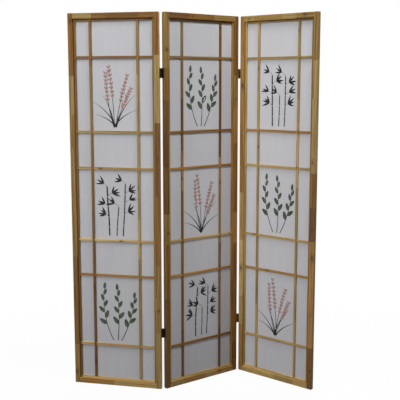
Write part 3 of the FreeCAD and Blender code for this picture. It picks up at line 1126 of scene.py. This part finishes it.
def print_tree(inks):
    """Geometry Nodes that turn a drawing into thin strokes along its lines and leaves at its points."""
    inputs = {"Geometry": "Geometry", "Stroke Step": "Float", "Leaf Sides": "Int"}
    tree, sheet = new_group("ink_print", "GeometryNodeTree", inputs, {"Geometry": "Geometry"})
    given = sheet.add("NodeGroupInput")
    parts = [print_strokes(sheet, given.out("Geometry"), given.out("Stroke Step"))]
    for kind, (point, belly) in LEAF_SHAPES.items():
        shape = leaf_shape(sheet, given.out("Leaf Sides"), point, belly)
        parts.append(print_leaves(sheet, given.out("Geometry"), kind, shape))
    joined = sheet.add("GeometryNodeJoinGeometry", None, {"Geometry": parts})
    whole = sheet.add("GeometryNodeRealizeInstances", None, {"Geometry": joined})
    for number, ink in enumerate(inks):
        chosen = is_equal(sheet, named_mark(sheet, "ink"), number)
        whole = sheet.add(
            "GeometryNodeSetMaterial", None, {"Geometry": whole, "Selection": chosen, "Material": ink})
    sheet.add("NodeGroupOutput", None, {"Geometry": whole})
    return tree


def print_strokes(sheet, drawing, step):
    """Flat ribbons along the lines of the drawing."""
    lines = sheet.add("GeometryNodeMeshToCurve", None, {"Mesh": drawing})
    lines = sheet.add("GeometryNodeCurveSplineType", {"spline_type": "CATMULL_ROM"}, {"Curve": lines})
    lines = sheet.add("GeometryNodeResampleCurve", {"mode": "LENGTH"}, {"Curve": lines, "Length": step})
    lines = sheet.add(
        "GeometryNodeSetCurveNormal", {"mode": "FREE"}, {"Curve": lines, "Normal": (0.0, 1.0, 0.0)})
    profile = sheet.add("GeometryNodeCurvePrimitiveQuadrilateral", None, STROKE_PROFILE)
    return sheet.add("GeometryNodeCurveToMesh", None, {
        "Curve": lines, "Profile Curve": profile, "Scale": named_mark(sheet, "half_width"),
        "Fill Caps": True})


def print_leaves(sheet, drawing, kind, shape):
    """One shape of leaf at each point of its kind."""
    size = sheet.vector(named_mark(sheet, "leaf_width"), named_mark(sheet, "leaf_length"), LEAF_THICKNESS)
    euler = sheet.vector(math.pi / 2, named_mark(sheet, "turn"), 0.0)
    turn = sheet.add("FunctionNodeEulerToRotation", None, {"Euler": euler})
    return sheet.add("GeometryNodeInstanceOnPoints", None, {
        "Points": drawing, "Selection": is_equal(sheet, named_mark(sheet, "kind"), kind),
        "Instance": shape, "Rotation": turn, "Scale": size})


def ink_material(ink, colour):
    """Brushed ink, denser and thinner in patches."""
    material, sheet = new_material("ink_" + ink)
    spot = sheet.add("ShaderNodeTexCoord", output="Object")
    pool = sheet.noise(spot, detail=3.0, scale=INK_POOLS)
    grain = sheet.noise(spot, detail=2.0, scale=INK_GRAIN)
    thin = [channel + (1.0 - channel) * INK_SPREADS[ink] for channel in colour]
    share = POOL_SHARE * pool.smooth(*POOL_EDGES) + (1.0 - POOL_SHARE) * grain.smooth(*GRAIN_EDGES)
    finish_surface(sheet, PAPER_SPECULAR, {
        "Base Color": sheet.mix(share, colour, thin),
        "Roughness": INK_ROUGHNESS[0] + INK_ROUGHNESS[1] * grain,
    })
    return material


def grown_mesh(name, sprig, tree, finish):
    """The drawing made into a plain mesh of strokes and leaves."""
    holder = new_object(name, drawing_mesh(name + "_drawing", sprig))
    grower = holder.modifiers.new("Ink print", "NODES")
    grower.node_group = tree
    sizes = {"Stroke Step": finish.stroke_step, "Leaf Sides": LEAF_SIDES}
    for item in tree.interface.items_tree:
        if item.in_out == "INPUT" and item.name in sizes:
            grower[item.identifier] = sizes[item.name]
    depsgraph = bpy.context.evaluated_depsgraph_get()
    mesh = bpy.data.meshes.new_from_object(
        holder.evaluated_get(depsgraph), preserve_all_data_layers=True, depsgraph=depsgraph)
    holder.modifiers.remove(grower)
    bpy.data.objects.remove(holder)
    if not mesh.polygons:
        raise RuntimeError(name + " has no faces")
    return mesh


def lay_on_paper(mesh, panel, relief, centre, lift):
    """Lays a grown drawing on the front of the paper, each stroke a hair in front of it."""
    points = mesh_points(mesh)
    lifts = np.empty(len(points), dtype=np.float32)
    mesh.attributes["lift"].data.foreach_get("value", lifts)
    x = points[:, 0] + centre[0]
    z = points[:, 2] + centre[1]
    surface = panel.box("paper_sheet")[0][1] + relief.at(x, z)
    in_front = points[:, 1] < 0.0
    y = surface - np.where(in_front, lift * lifts, BACK_LIFT * lift)
    placed = panel.world(np.column_stack((x, y, z))).astype(np.float32)
    mesh.vertices.foreach_set("co", placed.ravel())
    for mark in POINT_MARKS:
        if mark in mesh.attributes:
            mesh.attributes.remove(mesh.attributes[mark])
    mesh.update()


def draw_prints(panel, tree, settings):
    """The three prints in the tall middle cells of one panel, as one piece for each cell."""
    relief = PaperRelief(panel, settings.paper)
    column = panel.columns()[1]
    tall_rows = panel.rows()[1::2]
    for row, motif in zip(reversed(tall_rows), PRINT_ORDER[panel.name]):
        name = f"{panel.name}_print_{motif}"
        sprig = Sprig(name)
        MOTIFS[motif](sprig)
        mesh = grown_mesh(name, sprig, tree, settings.prints)
        centre = (sum(column) / 2, sum(row) / 2)
        lay_on_paper(mesh, panel, relief, centre, settings.prints.lift)
        add_piece(name, mesh, panel)


# Hinges

HINGE_SPECULAR = 0.25
HINGE_BUMP = (0.15, 0.0001)
HINGE_CLOUDS = 90.0
HINGE_GRAIN = 1800.0

# Where rubbed patches and the grain in them begin and are full, and how much sooner on leaves and on screws
PATCH_EDGES = (0.60, 0.82)
RUB_EDGES = (0.35, 0.65)
HINGE_RUB, SCREW_RUB = 0.0, 0.08

# How metallic rubbed paint looks, what grain adds to the roughness and what rubbing takes off
WORN_METAL = 0.6
GRAIN_ROUGHNESS = 0.16
WORN_POLISH = 0.10


def hinge_material(name, finish, rub):
    """Black paint on steel, a little uneven and rubbed thin in places."""
    material, sheet = new_material(name)
    spot = sheet.add("ShaderNodeTexCoord", output="Object")
    cloud = sheet.noise(spot, detail=3.0, scale=HINGE_CLOUDS)
    grain = sheet.noise(spot, detail=2.0, scale=HINGE_GRAIN)
    start, full = PATCH_EDGES
    worn = cloud.smooth(start - rub, full - rub) * grain.smooth(*RUB_EDGES)
    finish_surface(sheet, HINGE_SPECULAR, {
        "Base Color": sheet.mix(worn, finish.black, finish.worn),
        "Metallic": WORN_METAL * worn,
        "Roughness": finish.roughness + GRAIN_ROUGHNESS * grain - WORN_POLISH * worn,
        "Normal": sheet.bump(grain, *HINGE_BUMP),
    })
    return material


def hinge_nodes():
    """The leaves and pins of the four hinges."""
    for joint, panels in HINGE_JOINTS.items():
        for height in ("lower", "upper"):
            hinge = f"{joint}_{height}_hinge"
            yield hinge + "_pin"
            for panel in panels:
                yield f"{hinge}_{panel}_leaf"


# Stage

FLOOR_RADIUS = 9.0
FLOOR_SIDES = 96

# How white the floor is under the screen, and the distances between which it fades to full white
NEAR_WHITE = 0.95
FADE = (0.5, 2.2)

WHITE = (1.0, 1.0, 1.0, 1.0)
FILL_COLOUR = (0.93, 0.96, 1.0, 1.0)
SENSOR_WIDTH = 36.0
FARTHEST = 100.0

# Where each lamp stands, what it looks at, its width and height, and the spread of its light in degrees
LAMPS = {
    "left": ((-1.8, -1.5, 3.4), (0.0, 0.0, 0.9), (0.5, 0.5), 180.0),
    "low": ((-5.0, -4.0, 0.6), (0.0, 0.0, 0.6), (2.0, 1.0), 60.0),
    "front": ((0.0, -5.5, 1.0), (0.05, 0.0, 0.9), (0.5, 0.5), 18.0),
    "overhead": ((0.8, -1.0, 3.4), (0.1, 0.0, 0.7), (0.6, 0.6), 120.0),
    "right": ((3.2, -1.5, 3.4), (0.0, 0.0, 0.3), (0.5, 0.5), 60.0),
    "rear": ((0.6, 3.2, 2.4), (0.0, 0.0, 0.9), (2.0, 1.2), 120.0),
}


def floor_mesh():
    """A round floor under the screen."""
    angles = [math.tau * side / FLOOR_SIDES for side in range(FLOOR_SIDES)]
    rim = [(FLOOR_RADIUS * math.cos(angle), FLOOR_RADIUS * math.sin(angle), 0.0) for angle in angles]
    mesh = bpy.data.meshes.new("floor")
    mesh.from_pydata(rim, [], [tuple(range(FLOOR_SIDES))])
    return mesh


def seen_ray(sheet):
    """1 for rays from the camera, in a reflection or through glass."""
    path = sheet.add("ShaderNodeLightPath", output="Is Camera Ray")
    return path.larger(path.out("Is Glossy Ray")).larger(path.out("Is Transmission Ray"))


def floor_material(colour, bounce):
    """A floor with a faint shadow near the screen, plain white further out, that throws little back."""
    material, sheet = new_material("pale_floor")
    x, y, z = sheet.split(sheet.add("ShaderNodeTexCoord", output="Object"))
    away = (x * x + y * y) ** 0.5
    seen = seen_ray(sheet)
    share = seen * (NEAR_WHITE + (1.0 - NEAR_WHITE) * away.smooth(*FADE))
    matt = sheet.add("ShaderNodeBsdfDiffuse", None, {"Color": sheet.mix(seen, bounce, colour)})
    white = sheet.add("ShaderNodeEmission", None, {"Color": WHITE, "Strength": 1.0})
    finish_material(sheet, sheet.add("ShaderNodeMixShader", None, {0: share, 1: matt, 2: white}))
    return material


def white_world(fill):
    """Soft light from all round, white where it is seen."""
    world = bpy.data.worlds.new("soft_white")
    world.use_nodes = True
    world.node_tree.nodes.clear()
    sheet = NodeSheet(world.node_tree)
    glow = sheet.add("ShaderNodeBackground", None, {"Color": FILL_COLOUR, "Strength": fill})
    white = sheet.add("ShaderNodeBackground", None, {"Color": WHITE, "Strength": 1.0})
    seen = sheet.add("ShaderNodeMixShader", None, {0: seen_ray(sheet), 1: glow, 2: white})
    sheet.add("ShaderNodeOutputWorld", None, {"Surface": seen})
    return world


def soft_lamp(name, place, aim, size, spread, power):
    """A large lamp that looks at a point."""
    lamp = bpy.data.lights.new(name, "AREA")
    lamp.shape = "RECTANGLE"
    lamp.size, lamp.size_y = size
    lamp.spread = math.radians(spread)
    lamp.energy = power
    holder = new_object(name, lamp)
    holder.location = place
    holder.rotation_euler = (Vector(aim) - Vector(place)).to_track_quat("-Z", "Y").to_euler()


def photo_camera(settings):
    """The camera at the photograph's viewing angle."""
    camera = bpy.data.cameras.new("camera")
    camera.sensor_width = SENSOR_WIDTH
    camera.lens = settings.camera_lens
    camera.clip_end = FARTHEST
    holder = new_object("camera", camera)
    holder.location = settings.camera_place
    holder.rotation_euler = (math.pi / 2 - settings.camera_pitch, 0.0, -settings.camera_yaw)
    bpy.context.scene.camera = holder


# Operators

class FrameWoodOperator(bpy.types.Operator):
    """Finish the stiles and rails of the three panels in pine"""
    bl_idname = "folding_screen.frame_wood"
    bl_label = "Finish frame wood"

    def execute(self, context):
        finish_boards(FRAME_BOARDS, context.scene.folding_screen.pine)
        return {"FINISHED"}


class LatticeWoodOperator(bpy.types.Operator):
    """Finish the strips, uprights and cross bars of the lattices in pine"""
    bl_idname = "folding_screen.lattice_wood"
    bl_label = "Finish lattice wood"

    def execute(self, context):
        finish_boards(LATTICE_BOARDS, context.scene.folding_screen.pine)
        return {"FINISHED"}


class PaperOperator(bpy.types.Operator):
    """Stretch a paper sheet behind each lattice"""
    bl_idname = "folding_screen.paper"
    bl_label = "Stretch paper"

    def execute(self, context):
        for panel in map(PanelPlace, PANEL_NAMES):
            stretch_paper(panel, context.scene.folding_screen.paper)
        return {"FINISHED"}


class PrintsOperator(bpy.types.Operator):
    """Draw the ink prints in the tall middle cells"""
    bl_idname = "folding_screen.prints"
    bl_label = "Draw prints"

    def execute(self, context):
        settings = context.scene.folding_screen
        tree = print_tree([ink_material(ink, getattr(settings.prints, ink)) for ink in INKS])
        for panel in map(PanelPlace, PANEL_NAMES):
            draw_prints(panel, tree, settings)
        return {"FINISHED"}


class HingesOperator(bpy.types.Operator):
    """Paint the hinges and their screws black"""
    bl_idname = "folding_screen.hinges"
    bl_label = "Paint hinges"

    def execute(self, context):
        finish = context.scene.folding_screen.hinges
        paint = hinge_material("black_hinge_paint", finish, HINGE_RUB)
        heads = hinge_material("black_screw_paint", finish, SCREW_RUB)
        for node in hinge_nodes():
            wear(node, paint)
        for panel in PANEL_NAMES:
            wear(panel + "_hinge_screws", heads)
        return {"FINISHED"}


class StageOperator(bpy.types.Operator):
    """Set up the floor, the soft lamps and the camera"""
    bl_idname = "folding_screen.stage"
    bl_label = "Set up stage"

    def execute(self, context):
        stage = context.scene.folding_screen.stage
        context.scene.view_settings.view_transform = "Standard"
        context.scene.world = white_world(stage.fill)
        floor = new_object("floor", floor_mesh())
        floor.data.materials.append(floor_material(stage.floor, stage.floor_bounce))
        for name, (place, aim, size, spread) in LAMPS.items():
            soft_lamp(name + "_lamp", place, aim, size, spread, getattr(stage, name))
        photo_camera(stage)
        return {"FINISHED"}


class FoldingScreenPanel(bpy.types.Panel):
    """Lists the steps that finish the folding screen"""
    bl_idname = "VIEW3D_PT_folding_screen"
    bl_label = "Folding screen"
    bl_space_type = "VIEW_3D"
    bl_region_type = "UI"
    bl_category = "Folding screen"

    def draw(self, context):
        for operator in OPERATORS:
            self.layout.operator(operator.bl_idname)
        settings = context.scene.folding_screen
        for group in (settings.pine, settings.paper, settings.prints, settings.hinges, settings.stage):
            box = self.layout.box()
            for name in group.__annotations__:
                box.prop(group, name)


# The steps in the order they run
OPERATORS = (
    StageOperator,
    FrameWoodOperator,
    LatticeWoodOperator,
    PaperOperator,
    PrintsOperator,
    HingesOperator,
)
GROUPS = (PineFinish, PaperFinish, PrintFinish, HingeFinish, StageSettings, ScreenSettings)
CLASSES = (*GROUPS, *OPERATORS, FoldingScreenPanel)


def register():
    for each in CLASSES:
        bpy.utils.register_class(each)
    bpy.types.Scene.folding_screen = bpy.props.PointerProperty(type=ScreenSettings)


def unregister():
    del bpy.types.Scene.folding_screen
    for each in reversed(CLASSES):
        bpy.utils.unregister_class(each)


def main():
    """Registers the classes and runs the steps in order."""
    register()
    steps = bpy.ops.folding_screen
    steps.stage()
    steps.frame_wood()
    steps.lattice_wood()
    steps.paper()
    steps.prints()
    steps.hinges()


if __name__ == "__main__":
    main()
